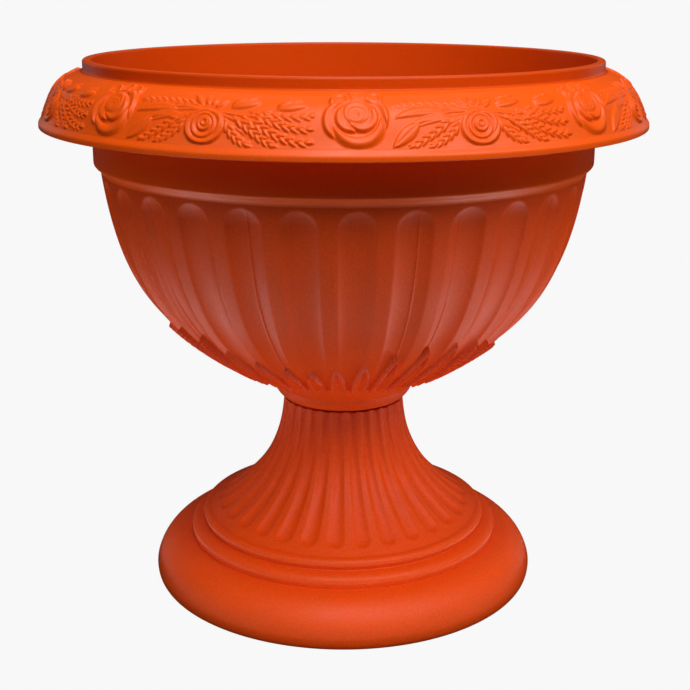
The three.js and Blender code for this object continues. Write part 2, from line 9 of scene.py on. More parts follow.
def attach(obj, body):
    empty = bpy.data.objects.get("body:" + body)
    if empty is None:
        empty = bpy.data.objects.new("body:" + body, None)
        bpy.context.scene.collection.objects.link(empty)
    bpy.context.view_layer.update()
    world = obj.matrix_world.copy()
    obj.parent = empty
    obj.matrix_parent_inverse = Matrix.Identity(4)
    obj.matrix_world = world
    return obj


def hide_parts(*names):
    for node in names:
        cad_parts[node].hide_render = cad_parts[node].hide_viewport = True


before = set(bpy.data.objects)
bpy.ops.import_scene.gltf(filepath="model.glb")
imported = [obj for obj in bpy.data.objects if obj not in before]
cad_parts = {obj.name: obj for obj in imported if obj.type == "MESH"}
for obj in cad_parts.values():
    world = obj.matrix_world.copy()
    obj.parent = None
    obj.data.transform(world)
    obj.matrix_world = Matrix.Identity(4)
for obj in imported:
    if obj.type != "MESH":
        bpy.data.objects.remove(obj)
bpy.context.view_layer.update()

# ---- Camera --------------------------------------------------------------------------
# A short telephoto a little above the rim, turned and rolled by a fraction of a degree
# as the photograph is. Metres, the object's axis at x = y = 0.

CAMERA_BACK = 0.8591
CAMERA_HEIGHT = 0.4194
CAMERA_TILT = 16.49              # degrees below the horizon
CAMERA_YAW = -0.074
CAMERA_ROLL = 0.132

camera_data = bpy.data.cameras.new("camera")
camera_data.sensor_width = 36
camera_data.lens = 66.2
camera_data.clip_end = 50
camera = bpy.data.objects.new("camera", camera_data)
camera.location = (0, -CAMERA_BACK, CAMERA_HEIGHT)
camera.rotation_euler = (
    Matrix.Rotation(math.radians(CAMERA_YAW), 3, "Z")
    @ Matrix.Rotation(math.radians(90 - CAMERA_TILT), 3, "X")
    @ Matrix.Rotation(math.radians(CAMERA_ROLL), 3, "Z")
).to_euler()
bpy.context.scene.collection.objects.link(camera)
bpy.context.scene.camera = camera
bpy.context.scene.view_settings.view_transform = "Standard"

# ---- Floor and background ------------------------------------------------------------
# One plain near-white, as in a cut-out product picture: what the camera sees of the
# floor and the room is the same tone, while the light they send on is set apart.


def linear(hex_colour):
    """Linear RGBA of an sRGB colour written #RRGGBB: ((c + .055) / 1.055) ** 2.4 above .04045."""
    channels = [int(hex_colour[i:i + 2], 16) / 255 for i in (1, 3, 5)]
    return [c / 12.92 if c <= 0.04045 else ((c + 0.055) / 1.055) ** 2.4 for c in channels] + [1]


def add_node(tree, kind, inputs=None, **settings):
    """Adds a node. inputs maps a socket to a value, or to another node's output socket."""
    made = tree.nodes.new(kind)
    for key, value in settings.items():
        setattr(made, key, value)
    for socket, value in (inputs or {}).items():
        if isinstance(value, bpy.types.NodeSocket):
            tree.links.new(value, made.inputs[socket])
        else:
            made.inputs[socket].default_value = value
    return made


def new_material(name):
    """A material with an empty node tree, and that tree."""
    made = bpy.data.materials.new(name)
    made.use_nodes = True
    made.node_tree.nodes.clear()
    return made, made.node_tree


def show_apart(tree, output, lit, seen):
    """Ends a tree so that the camera meets the shader seen, and every other ray the shader lit."""
    directly = add_node(tree, "ShaderNodeLightPath").outputs["Is Camera Ray"]
    mix = add_node(tree, "ShaderNodeMixShader", {0: directly, 1: lit.outputs[0], 2: seen.outputs[0]})
    add_node(tree, output, {"Surface": mix.outputs[0]})


BACKGROUND = linear("#F8F8F8")
ROOM_STRENGTH = 0.02
FLOOR_HALF = 6                   # metres

world = bpy.data.worlds.new("studio")
bpy.context.scene.world = world
world.use_nodes = True
room = world.node_tree
room.nodes.clear()
room_light = add_node(room, "ShaderNodeBackground", {"Color": linear("#FFFFFF"), "Strength": ROOM_STRENGTH})
room_seen = add_node(room, "ShaderNodeBackground", {"Color": BACKGROUND, "Strength": 1})
show_apart(room, "ShaderNodeOutputWorld", room_light, room_seen)

floor_mesh = bpy.data.meshes.new("floor")
corners = [(x * FLOOR_HALF, y * FLOOR_HALF, 0) for x, y in ((-1, -1), (1, -1), (1, 1), (-1, 1))]
floor_mesh.from_pydata(corners, [], [(0, 1, 2, 3)])
floor = bpy.data.objects.new("floor", floor_mesh)
bpy.context.scene.collection.objects.link(floor)

# Matt paper sweep: uncoated and pale to the camera, but it throws little light back, so that
# the underside of the bowl stays as dark as it is in the photograph.
paper, sweep = new_material("white_paper_sweep")
paper_lit = add_node(sweep, "ShaderNodeBsdfDiffuse", {"Color": linear("#363636")})
paper_seen = add_node(sweep, "ShaderNodeEmission", {"Color": BACKGROUND, "Strength": 1})
show_apart(sweep, "ShaderNodeOutputMaterial", paper_lit, paper_seen)
floor_mesh.materials.append(paper)

# ---- Lights --------------------------------------------------------------------------
# Three large soft boxes high in front and to the right, weaker ones at the sides and behind
# for the flanks, and small ones near the floor that stand for light thrown up by the table.
# Places and sizes in metres, powers in watts.

AIM = (0, 0, 0.22)
TABLE_GLOW_Z = 0.012
FOOT_GLOW_R = 0.34
FOOT_GLOW_Z = 0.02


def soft_box(name, place, aim, width, height, watts):
    """A rectangular area light at place, facing aim."""
    data = bpy.data.lights.new(name, "AREA")
    data.shape = "RECTANGLE"
    data.size = width
    data.size_y = height
    data.energy = watts
    lamp = bpy.data.objects.new(name, data)
    lamp.location = place
    lamp.rotation_euler = (Vector(aim) - Vector(place)).to_track_quat("-Z", "Y").to_euler()
    lamp.visible_camera = False
    bpy.context.scene.collection.objects.link(lamp)
    return lamp


def from_side(azimuth, elevation, distance=1.6):
    """A place at a distance from the aim, by degrees round from the front and up."""
    a, e = math.radians(azimuth), math.radians(elevation)
    flat = distance * math.cos(e)
    return (flat * math.sin(a), -flat * math.cos(a), AIM[2] + distance * math.sin(e))


soft_box("key_top", from_side(8, 66), AIM, 0.7, 0.5, 11)
soft_box("key_right", from_side(45, 42), AIM, 0.7, 0.5, 7.5)
soft_box("key_front", from_side(0, 44), AIM, 0.7, 0.4, 6)
soft_box("side_right", from_side(75, 35), AIM, 0.7, 0.5, 2)
soft_box("fill_left", from_side(-45, 33), AIM, 0.7, 0.5, 1.8)
soft_box("back_top", from_side(180, 50), AIM, 0.9, 0.6, 3)
soft_box("back_right", from_side(135, 10), AIM, 0.6, 0.6, 0.5)
soft_box("back_left", from_side(-135, 10), AIM, 0.6, 0.6, 0.5)
soft_box("table_glow_left", (-0.28, -0.08, TABLE_GLOW_Z), (-0.28, -0.08, 1), 0.24, 0.26, 0.4)
soft_box("table_glow_right", (0.28, -0.08, TABLE_GLOW_Z), (0.28, -0.08, 1), 0.24, 0.26, 0.45)
soft_box("table_glow_front", (0, -0.2, TABLE_GLOW_Z), (0, -0.2, 1), 0.5, 0.08, 0.15)
for side in (-60, 0, 60):
    a = math.radians(side)
    place = (FOOT_GLOW_R * math.sin(a), -FOOT_GLOW_R * math.cos(a), FOOT_GLOW_Z)
    soft_box("foot_glow", place, (0, 0, FOOT_GLOW_Z), 0.35, 0.03, 0.08)

# ---- Pedestal foot -------------------------------------------------------------------
# The stepped, rounded foot with its flat ring on the ground, and the hollow inside up to
# the deck. Radii and heights in millimetres from the axis and the ground.


def curve(*controls, step=1.0):
    """Points about step mm apart on the Bezier curve of any order through its control points.

    Bernstein form: sum of C(n, k) t^k (1 - t)^(n - k) P_k, resampled evenly in arc length.
    """
    t = np.linspace(0, 1, 400)[:, None]
    n = len(controls) - 1
    fine = sum(
        math.comb(n, k) * t ** k * (1 - t) ** (n - k) * np.array(control, float)
        for k, control in enumerate(controls)
    )
    length = np.concatenate([[0], np.cumsum(np.hypot(*np.diff(fine, axis=0).T))])
    even = np.linspace(0, length[-1], max(2, round(length[-1] / step) + 1))
    return np.stack([np.interp(even, length, fine[:, i]) for i in (0, 1)], 1)


def outline(*curves):
    """One row of points from curves that follow each other, with no point twice."""
    points = np.vstack(curves)
    apart = np.hypot(*np.diff(points, axis=0).T) > 1e-6
    return points[np.concatenate([[True], apart])]


def normals(points):
    """Unit normals (dz, -dr) of a row of points, to the right of the way it runs."""
    way = np.gradient(points, axis=0)
    way /= np.hypot(*way.T)[:, None]
    return np.stack([way[:, 1], -way[:, 0]], 1)


def beside(points, distance):
    """The parallel of a row of points at a distance along its normals."""
    return points + normals(points) * distance


def revolved(points, azimuths, lift=0.0):
    """Grid [row, column, xyz] of a turned surface, lifted along its normals.

    x = r sin a, y = -r cos a, so azimuth 0 faces the front and grows towards +X.
    """
    n = normals(points)
    r = points[:, 0, None] + n[:, 0, None] * lift
    z = points[:, 1, None] + n[:, 1, None] * lift + 0 * azimuths
    return np.stack([r * np.sin(azimuths), -r * np.cos(azimuths), z], -1)


def surface(name, grid, sharp=40):
    """Object of quads through grid[row, column], in mm. A last column that repeats the first is welded."""
    rows, columns = grid.shape[:2]
    closed = np.allclose(grid[:, 0], grid[:, -1], atol=1e-6)
    points = grid[:, :-1] if closed else grid
    count = points.shape[1]
    first = np.arange(rows - 1)[:, None] * count
    left = np.arange(columns - 1)
    right = (left + 1) % count
    corners = [first + left, first + right, first + count + right, first + count + left]
    quads = np.stack(corners, -1).reshape(-1, 4)
    mesh = bpy.data.meshes.new(name)
    mesh.vertices.add(rows * count)
    mesh.vertices.foreach_set("co", (points / 1000).astype(np.float32).ravel())
    mesh.loops.add(quads.size)
    mesh.loops.foreach_set("vertex_index", quads.astype(np.int32).ravel())
    mesh.polygons.add(len(quads))
    mesh.polygons.foreach_set("loop_start", np.arange(0, quads.size, 4, dtype=np.int32))
    mesh.update(calc_edges=True)
    mesh.shade_smooth()
    mesh.set_sharp_from_angle(angle=math.radians(sharp))
    made = bpy.data.objects.new(name, mesh)
    bpy.context.scene.collection.objects.link(made)
    return made


def full_turn(columns, start=0.0):
    """Azimuths in radians once round, the last the same place as the first."""
    return math.radians(start) + np.linspace(0, 2 * math.pi, columns + 1)


def noise(tree, place, scale, detail, roughness=0.6):
    """The value of a noise texture, its scale in clouds to the metre."""
    return add_node(tree, "ShaderNodeTexNoise", {
        "Vector": place,
        "Scale": scale,
        "Detail": detail,
        "Roughness": roughness,
    }).outputs["Fac"]


def about(tree, value, middle, spread):
    """A noise's usual range, 0.3 to 0.7, mapped to a spread on both sides of a middle."""
    return add_node(tree, "ShaderNodeMapRange", {
        "Value": value,
        "From Min": 0.3,
        "From Max": 0.7,
        "To Min": middle - spread,
        "To Max": middle + spread,
    }).outputs[0]


def clouded(tree, value, colour, stray):
    """A colour that strays by a share to both sides as a noise goes from 0 to 1."""
    base = linear(colour)[:3]
    return add_node(tree, "ShaderNodeMix", {
        0: value,
        6: [c * (1 - stray) for c in base] + [1],
        7: [min(1, c * (1 + stray)) for c in base] + [1],
    }, data_type="RGBA").outputs[2]


def bumped(tree, height, depth):
    """Normals for a noise taken as relief, depth mm from its lowest to its highest."""
    return add_node(tree, "ShaderNodeBump", {
        "Height": height,
        "Strength": 1,
        "Distance": depth / 1000,
    }).outputs[0]


FLOW_SCALE = 14                  # the melt's flow marks, clouds to the metre
RUB_SCALE = 45                   # duller patches where the skin was handled
SHINE_SPREAD = 0.05


def plastic(name, colour, roughness, grain, grain_depth, mottle, speckle, specular=0.28):
    """Moulded polypropylene: object-space noise for its flow marks, its tool's grain and its shine.

    grain is the size of the grain in mm and grain_depth its relief in mm; mottle is how
    far the colour strays in broad clouds, and speckle how far from pit to peak of the grain.
    """
    made, tree = new_material(name)
    place = add_node(tree, "ShaderNodeTexCoord").outputs["Object"]
    tint = clouded(tree, noise(tree, place, FLOW_SCALE, 3, 0.55), colour, mottle)
    fine = noise(tree, place, 1000 / grain, 2)
    pits = about(tree, fine, 1, speckle)
    speckled = add_node(tree, "ShaderNodeVectorMath", {0: tint, "Scale": pits}, operation="SCALE")
    skin = add_node(tree, "ShaderNodeBsdfPrincipled", {
        "Base Color": speckled.outputs[0],
        "Roughness": about(tree, noise(tree, place, RUB_SCALE, 4), roughness, SHINE_SPREAD),
        "Normal": bumped(tree, fine, grain_depth),
        "IOR": 1.49,
        "Specular IOR Level": specular,
    })
    add_node(tree, "ShaderNodeOutputMaterial", {"Surface": skin.outputs[0]})
    return made


def dress(piece, material, body, slot, *nodes):
    """Gives a piece its material and its body, and hides the CAD nodes that it stands for. slot is not used.
    """
    piece.data.materials.clear()
    piece.data.materials.append(material)
    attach(piece, body)
    if nodes:
        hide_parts(*nodes)


# Spark-eroded polypropylene: the tool is eroded to a fine even grain, so the skin is a
# dull satin that spreads every highlight into a pale bloom.
satin_polypropylene = plastic(
    "spark_eroded_polypropylene",
    "#E64A06",
    roughness=0.5,
    grain=1.0,
    grain_depth=0.04,
    mottle=0.05,
    speckle=0.12,
)

PEDESTAL_WALL = 3.2
DECK_BOTTOM = 114.2
DECK_R = 38.6
SEAM_LAP = 0.4                   # how far the wall starts up inside the deck's edge
UPPER_GROOVE = (100.3, 39.8)
LOWER_GROOVE = (109.2, 30.5)
FOOT_SIDE = (135.7, 7.5)
RING_R = (127.9, 131.5)          # the flat ring on the ground
FOOT_COLUMNS = 360

foot_top = curve(FOOT_SIDE, (135.7, 12.2), (129.2, 30.5), LOWER_GROOVE, step=0.8)
flare = curve((96, 47.2), (54, 70.5), (43.8, 100.4), (42.2, 129.4), step=0.9)
under_flare = beside(flare, -PEDESTAL_WALL)
foot_profile = outline(
    curve((DECK_R, DECK_BOTTOM + SEAM_LAP), (DECK_R + 1, DECK_BOTTOM + SEAM_LAP)),
    under_flare[under_flare[:, 1] < DECK_BOTTOM][::-1],
    curve((97.1, 36.6), (106, 27.3), step=2),
    beside(foot_top, -PEDESTAL_WALL)[::-1],
    curve((RING_R[0], 6), (RING_R[0], 0.3)),
    curve((RING_R[0], 0.3), (RING_R[0], 0), (128.2, 0), step=0.2),
    curve((128.2, 0), (RING_R[1], 0), step=1),
    curve((RING_R[1], 0), (FOOT_SIDE[0], 0), FOOT_SIDE, step=0.7),
    foot_top,
    curve(LOWER_GROOVE, (109.0, 30.4), (109.2, 31.2), step=0.3),
    curve((109.2, 31.2), (109.8, 34), step=0.8),
    curve((109.8, 34), (109.8, 39.8), UPPER_GROOVE, step=0.6),
    curve(UPPER_GROOVE, (100.0, 39.8), (100.1, 40.4), step=0.3),
)
foot = surface("pedestal_foot", revolved(foot_profile, full_turn(FOOT_COLUMNS)))
dress(foot, satin_polypropylene, "base", "pedestal_plastic", "pedestal")

# ---- Pedestal shaft ------------------------------------------------------------------
# The rolled shoulder, the fluted flare up to the open neck, and the socket's bore. Thirty
# hollow flutes with round feet run out through the neck's rim, which they scallop.

FLUTE_HALF = 4.0                 # degrees from a flute's middle to its edge
FLUTE_PITCH = 12.0
SHAFT_FLUTES_TURN = -3.3
SHAFT_FLUTE_DEPTH = 1.9
SHAFT_FLUTE_FOOT = 7.0           # plain wall between the shoulder and a flute's foot
SHAFT_FLUTE_END = 1.2            # over the neck's rim, the flutes fade out this fast
SHAFT_COLUMNS = 660              # 22 to a flute
SOCKET_R = 38.0
SOCKET_FLOOR = 117.4
SOCKET_LEAD_IN = 4.2             # the bore's mouth is chamfered to guide the bowl's spigot
NECK_TOP = 129.4
NECK_R = 42.2


def flutes(azimuths, r, to_end, depth, turn, soft=0.05, steep=1.0):
    """Depth in mm of hollow flutes: depth * max(0, 1 - across^2 - past_end^2)^steep, its corner eased.

    across is 0 in a flute's middle and 1 at its edge; past_end grows in the round end,
    which is as wide as the flute. The corner is eased by the softplus of a width soft, and
    a power steep under 1 makes the sides steeper and the middle flatter.
    """
    degrees = np.degrees(azimuths) - turn
    across = (degrees - FLUTE_PITCH * np.round(degrees / FLUTE_PITCH)) / FLUTE_HALF
    half_width = np.radians(FLUTE_HALF) * r
    past_end = np.maximum(0, 1 - to_end / half_width)
    hollow = 1 - across ** 2 - past_end[:, None] ** 2
    return -depth * (soft * np.logaddexp(0, hollow / soft)) ** steep


shoulder = outline(
    curve((100.1, 40.4), (101.2, 43), step=0.7),
    curve((101.2, 43), (101.2, 47.2), (96, 47.2), step=0.6),
)
shaft_profile = outline(
    shoulder,
    flare,
    curve((NECK_R, NECK_TOP), (NECK_R, NECK_TOP + 0.01), (NECK_R - 0.4, NECK_TOP + 0.01), step=0.2),
    curve((41.6, NECK_TOP), (41.0, NECK_TOP - 0.2), (SOCKET_R, NECK_TOP - SOCKET_LEAD_IN), step=0.6),
    curve((SOCKET_R, NECK_TOP - SOCKET_LEAD_IN), (SOCKET_R, SOCKET_FLOOR), step=3),
)
along = np.concatenate([[0], np.cumsum(np.hypot(*np.diff(shaft_profile, axis=0).T))])
flare_start = along[len(shoulder) - 1]
flare_end = flare_start + np.hypot(*np.diff(flare, axis=0).T).sum()
azimuths = full_turn(SHAFT_COLUMNS, SHAFT_FLUTES_TURN)
lift = flutes(
    azimuths,
    shaft_profile[:, 0],
    along - flare_start - SHAFT_FLUTE_FOOT,
    SHAFT_FLUTE_DEPTH,
    SHAFT_FLUTES_TURN,
)
lift[along < flare_start + 1] = 0
lift *= np.clip(1 - (along - flare_end) / SHAFT_FLUTE_END, 0, 1)[:, None]
shaft = surface("pedestal_shaft", revolved(shaft_profile, azimuths, lift))
dress(shaft, satin_polypropylene, "base", "pedestal_plastic")

# ---- Pedestal deck -------------------------------------------------------------------
# The floor of the socket, with the bolt's hole and four weep holes. The wing nut pulls
# up against it.


def circle(r, centre=(0, 0), count=48):
    """Points of a circle, in mm."""
    a = np.linspace(0, 2 * math.pi, count, endpoint=False)
    return np.stack([centre[0] + r * np.cos(a), centre[1] + r * np.sin(a)], 1)


def closed_mesh(name, meshes, merge=1e-6, sharp=35):
    """One mesh out of several: doubles merged, open ends filled flat, then all faces turned outwards.

    merge is in metres. Edges that turn by more than sharp degrees aren't smoothed.
    """
    whole = bmesh.new()
    for mesh in meshes:
        whole.from_mesh(mesh)
    bmesh.ops.remove_doubles(whole, verts=whole.verts, dist=merge)
    bmesh.ops.holes_fill(whole, edges=whole.edges, sides=0)
    bmesh.ops.recalc_face_normals(whole, faces=whole.faces)
    made = bpy.data.meshes.new(name)
    whole.to_mesh(made)
    whole.free()
    made.shade_smooth()
    made.set_sharp_from_angle(angle=math.radians(sharp))
    return made


def plate(name, outlines, bottom, top, edge=0.25):
    """A flat plate of closed outlines in mm, the inner ones holes, with rounded edges."""
    data = bpy.data.curves.new(name, "CURVE")
    data.dimensions = "2D"
    data.fill_mode = "BOTH"
    data.extrude = ((top - bottom) / 2 - edge) / 1000
    data.bevel_depth = edge / 1000
    data.bevel_resolution = 2
    data.offset = -edge / 1000
    for points in outlines:
        spline = data.splines.new("POLY")
        spline.points.add(len(points) - 1)
        flat = np.column_stack([points / 1000, np.zeros(len(points)), np.ones(len(points))])
        spline.points.foreach_set("co", flat.ravel())
        spline.use_cyclic_u = True
    drawn = bpy.data.objects.new(name + "_drawn", data)
    loose = bpy.data.meshes.new_from_object(drawn)
    bpy.data.objects.remove(drawn)
    mesh = closed_mesh(name, [loose])
    mesh.transform(Matrix.Translation((0, 0, (top + bottom) / 2000)))
    made = bpy.data.objects.new(name, mesh)
    bpy.context.scene.collection.objects.link(made)
    return made


def around(count, r, first):
    """Places spread evenly round the axis, the first at an angle in degrees from +X."""
    a = np.radians(first + np.arange(count) * 360 / count)
    return np.stack([r * np.cos(a), r * np.sin(a)], 1)


BOLT_HOLE_R = 6.5
WEEP_HOLE_R = 3.0
WEEP_CIRCLE_R = 25.0
weep_holes = [circle(WEEP_HOLE_R, place, 24) for place in around(4, WEEP_CIRCLE_R, SHAFT_FLUTES_TURN)]
deck = plate(
    "pedestal_deck",
    [circle(DECK_R + 1, count=120), circle(BOLT_HOLE_R), *weep_holes],
    DECK_BOTTOM,
    SOCKET_FLOOR,
)
dress(deck, satin_polypropylene, "base", "pedestal_plastic")

# ---- Bowl boss -----------------------------------------------------------------------
# The round boss that sits over the neck, the short cone above it, and the spigot that
# centres the bowl in the neck's bore. Heights from here on start at the boss's underside.

BOWL_Z = 130.7
SPIGOT_R = 37.6
SPIGOT_DEPTH = 13.0
SPIGOT_BORE_R = SPIGOT_R - 3.2
SPIGOT_TIP = 0.3 - SPIGOT_DEPTH
BOSS_CREASE = (49.1, 9.1)
BELLY_FOOT = (74.9, 25.4)


def raised(points):
    """The row of points with its heights measured from the ground."""
    return points + (0, BOWL_Z)


boss_profile = raised(outline(
    curve((SPIGOT_BORE_R, 0.6), (SPIGOT_BORE_R, SPIGOT_TIP), step=2),
    curve((SPIGOT_BORE_R, SPIGOT_TIP), (SPIGOT_R - 1.6, SPIGOT_TIP - 0.5), (SPIGOT_R, SPIGOT_TIP), step=0.5),
    curve((SPIGOT_R, SPIGOT_TIP), (SPIGOT_R, -0.4), step=2),
    curve((SPIGOT_R, -0.4), (SPIGOT_R, 0), (SPIGOT_R + 0.4, 0), step=0.2),
    curve((SPIGOT_R + 0.4, 0), (42.2, 0), step=1),
    curve((42.2, 0), (42.8, 0), (43.1, 0.6), step=0.2),
    curve((43.1, 0.6), (47.2, 3.35), BOSS_CREASE, step=0.6),
    curve(BOSS_CREASE, (62.0, 20.75), BELLY_FOOT, step=0.7),
))
boss = surface("bowl_boss", revolved(boss_profile, full_turn(FOOT_COLUMNS)), sharp=12)
dress(boss, satin_polypropylene, "basin", "bowl_plastic", "bowl")

# ---- Bowl belly ----------------------------------------------------------------------
# The fluted outside of the bowl with a ring of pointed leaves round its foot, in quarters.
# Thirty flutes end in round arches under the band and fade out towards the leaves.

BELLY_TOP = (161.9, 161.3)
BELLY_FLUTES_TURN = 2.8
BELLY_FLUTE_DEPTH = 2.9
BELLY_FLUTE_STEEP = 0.72
BELLY_FLUTE_ARCH = 2.4           # plain wall between a flute's arch and the band
BELLY_FLUTE_FOOT = 26.0          # plain wall between the belly's foot and a flute's start
BELLY_FLUTE_FADE = 40.0
LEAF_PITCH = 9.0                 # degrees
LEAF_TURN = -2.2
LEAF_WIDTH = 5.4                 # half of a leaf's greatest width, mm
LEAF_HEIGHT = 2.8
LEAF_TIP_R = 117.0               # the leaves' tips swing between two circles, four times round
LEAF_TIP_SWING = 10.0
LEAF_LONGEST_AT = 32.0
COLUMN_STEP = 1 / 3              # degrees
LEAVES_TO = 66.0                 # rows are closest from the foot to here, where the leaves end
ARCHES_FROM = 26.0               # and in this last stretch under the band, for the flutes' arches

fine = curve(BELLY_FOOT, (132.4, 60.1), (153.3, 91.6), BELLY_TOP, step=0.1)
fine_along = np.concatenate([[0], np.cumsum(np.hypot(*np.diff(fine, axis=0).T))])
belly_length = fine_along[-1]
belly_rows = np.concatenate([
    np.arange(0, LEAVES_TO, 0.6),
    np.arange(LEAVES_TO, belly_length - ARCHES_FROM, 1.1),
    np.linspace(belly_length - ARCHES_FROM, belly_length, 38),
])
belly_profile = np.stack([np.interp(belly_rows, fine_along, fine[:, i]) for i in (0, 1)], 1)


def smooth(x, low, high):
    """Smoothstep 3 t^2 - 2 t^3 of t, which runs from 0 at low to 1 at high."""
    t = np.clip((x - low) / (high - low), 0, 1)
    return t * t * (3 - 2 * t)


def leaf_ring(azimuths):
    """Height in mm of the leaves over the belly.

    A leaf's half width at share t of its length is LEAF_WIDTH (1 - t^2)^0.9 (0.85 + 0.6 t).
    It rises over 0.7 mm at its edge to a raised border, with a crease up its lower middle.
    """
    degrees = np.degrees(azimuths) - LEAF_TURN
    which = LEAF_PITCH * np.round(degrees / LEAF_PITCH)
    swing = np.cos(4 * np.radians(which + LEAF_TURN - LEAF_LONGEST_AT))
    length = np.interp(LEAF_TIP_R + LEAF_TIP_SWING * swing, fine[:, 0], fine_along)
    side = np.radians(np.abs(degrees - which)) * belly_profile[:, 0, None]
    t = np.clip(belly_rows[:, None] / length, 0, 1)
    inside = LEAF_WIDTH * (1 - t ** 2) ** 0.9 * (0.85 + 0.6 * t) - side
    body = smooth(inside, -0.1, 0.6) * (0.4 + 0.6 * smooth(inside, 2.3, 0.8))
    crease = 0.35 * np.exp(-(side / 0.9) ** 2) * smooth(inside, 1.0, 2.4)
    return LEAF_HEIGHT * (body - crease) * smooth(belly_rows, 0.0, 0.7)[:, None]


fade = np.clip((belly_rows - BELLY_FLUTE_FOOT) / BELLY_FLUTE_FADE, 0, 1)
for quarter in range(4):
    start = BELLY_FLUTES_TURN + 90 * quarter
    azimuths = np.radians(start + COLUMN_STEP * np.arange(90 / COLUMN_STEP + 1))
    lift = flutes(
        azimuths,
        belly_profile[:, 0],
        belly_length - BELLY_FLUTE_ARCH - belly_rows,
        BELLY_FLUTE_DEPTH,
        BELLY_FLUTES_TURN,
        soft=0.03,
        steep=BELLY_FLUTE_STEEP,
    ) * fade[:, None]
    leaves = leaf_ring(azimuths)
    lift = np.where(leaves > 0.02, lift * np.clip(1 - leaves, 0, 1), lift) + leaves
    belly = surface(f"bowl_belly_{quarter + 1}", revolved(raised(belly_profile), azimuths, lift), sharp=60)
    dress(belly, satin_polypropylene, "basin", "bowl_plastic")

# ---- Bowl band and the underside of the rim ------------------------------------------
# The rounded step and the plain band that the rim shades, and the hollow underside of the
# drooping rim, down to its beaded lip.

# Polished polypropylene: the upper half of the tool is polished, so the rim and the band
# under it reflect more clearly than the grained belly. Their colour is painted lighter than
# the belly's, which is painted light from above.
gloss_lighter_painted_polypropylene = plastic(
    "polished_painted_lighter_polypropylene",
    "#F85A0A",
    roughness=0.38,
    grain=1.0,
    grain_depth=0.02,
    mottle=0.03,
    speckle=0.05,
)

BAND_R = 166.4
BAND_FOOT = 169.7
LIP_R = 199.7
LIP_Z = 194.6
LIP_BOTTOM = 192.1
RIM_WALL = 2.8
LIP_INSIDE_R = LIP_R - RIM_WALL
RIM_COLUMNS = 480
BEAD = (197.4, 198.0)
RIM_TOP = (172.0, 226.3)

rim_curve = curve(BEAD, (191.8, 208.1), (191, 220.3), RIM_TOP, step=0.4)
rim_under = beside(rim_curve, -RIM_WALL)
rim_under = rim_under[(rim_under[:, 0] > BAND_R + 4) & (rim_under[:, 1] > LIP_Z + 2)]
band_profile = raised(outline(
    curve(BELLY_TOP, (162.0, 161.9), (162.3, 162.6), step=0.3),
    curve((162.3, 162.6), (163.6, 165.5), (165.7, 165.5), (166.3, 167.6), step=0.4),
    curve((166.3, 167.6), (BAND_R, 168.2), (BAND_R, BAND_FOOT), step=0.5),
    curve((BAND_R, BAND_FOOT), (BAND_R, 216), step=3),
    curve((BAND_R, 216), (BAND_R, 220.5), tuple(rim_under[-1]), step=0.8),
    rim_under[::-1],
    curve((LIP_INSIDE_R, LIP_Z), (LIP_INSIDE_R, LIP_BOTTOM + 0.5), step=1),
    curve((LIP_INSIDE_R, LIP_BOTTOM + 0.5), (LIP_INSIDE_R, LIP_BOTTOM), (LIP_R - 2.2, LIP_BOTTOM), step=0.2),
    curve((LIP_R - 2.2, LIP_BOTTOM), (LIP_R - 0.6, LIP_BOTTOM), step=0.8),
    curve((LIP_R - 0.6, LIP_BOTTOM), (LIP_R, LIP_BOTTOM), (LIP_R, LIP_BOTTOM + 0.6), step=0.2),
    curve((LIP_R, LIP_BOTTOM + 0.6), (LIP_R, LIP_Z - 0.5), step=0.6),
    curve((LIP_R, LIP_Z - 0.5), (LIP_R, LIP_Z + 0.5), (199.2, LIP_Z + 1.3), step=0.3),
    curve((199.2, LIP_Z + 1.3), (197.9, 197.6), step=0.5),
    curve((197.9, 197.6), (197.4, 198.1), (197.0, 199.2), step=0.3),
))
band = surface("bowl_band", revolved(band_profile, full_turn(RIM_COLUMNS)))
# Painted light: the band and the rim's underside take the lighter copy of the pot's colour.
dress(band, gloss_lighter_painted_polypropylene, "basin", "bowl_plastic")

# ---- Rim relief ----------------------------------------------------------------------
# The drooping rim's face: eight times round, a full rose, and a spray of wheat ears, buds
# and leaves about a smaller rose. One eighth is modelled as a height over the face, in mm
# along the rim from the full rose's middle, and in mm up from the bead.

RIM_REPEATS = 8
RIM_TURN = 2.2                   # degrees from the front to a full rose
RIM_START = -6.6                 # degrees from a full rose to the bare gap beside it
FACE_R = 193.0                   # radius at which mm along the rim are measured
SPRAY_X = 67.4                   # the small rose's middle
GRAIN_HALF = 3.4                 # half the length of a grain of wheat
GRAIN_SPLAY = 22                 # degrees that a grain leans out from its stalk
SECTOR_COLUMNS = 400


def oval(x, y, centre, a, b, turn=0.0):
    """Distance from an oval's centre as a share of the way to its edge."""
    c, s = math.cos(math.radians(turn)), math.sin(math.radians(turn))
    u = (x - centre[0]) * c + (y - centre[1]) * s
    v = -(x - centre[0]) * s + (y - centre[1]) * c
    return np.hypot(u / a, v / b)


def lay_petal(relief, x, y, centre, a, b, turn=0.0, cup=0.5, rim=1.4, crest=0.75, foot=0.2):
    """Lays a cupped petal over the relief: cup, rim and foot are its heights at middle, crest and edge."""
    q = oval(x, y, centre, a, b, turn)
    shape = cup + (rim - cup) * smooth(q, crest - 0.4, crest) + (foot - rim) * smooth(q, crest, 1.0) ** 1.5
    blend = smooth((1 - q) * min(a, b), -0.3, 0.5)
    return relief + (shape - relief) * blend


def lay_dome(relief, x, y, centre, a, b, turn, height):
    """Keeps the higher of the relief and a rounded dome: height * sqrt(1 - q^2)."""
    q = oval(x, y, centre, a, b, turn)
    return np.maximum(relief, height * np.sqrt(np.clip(1 - q * q, 0, 1)))


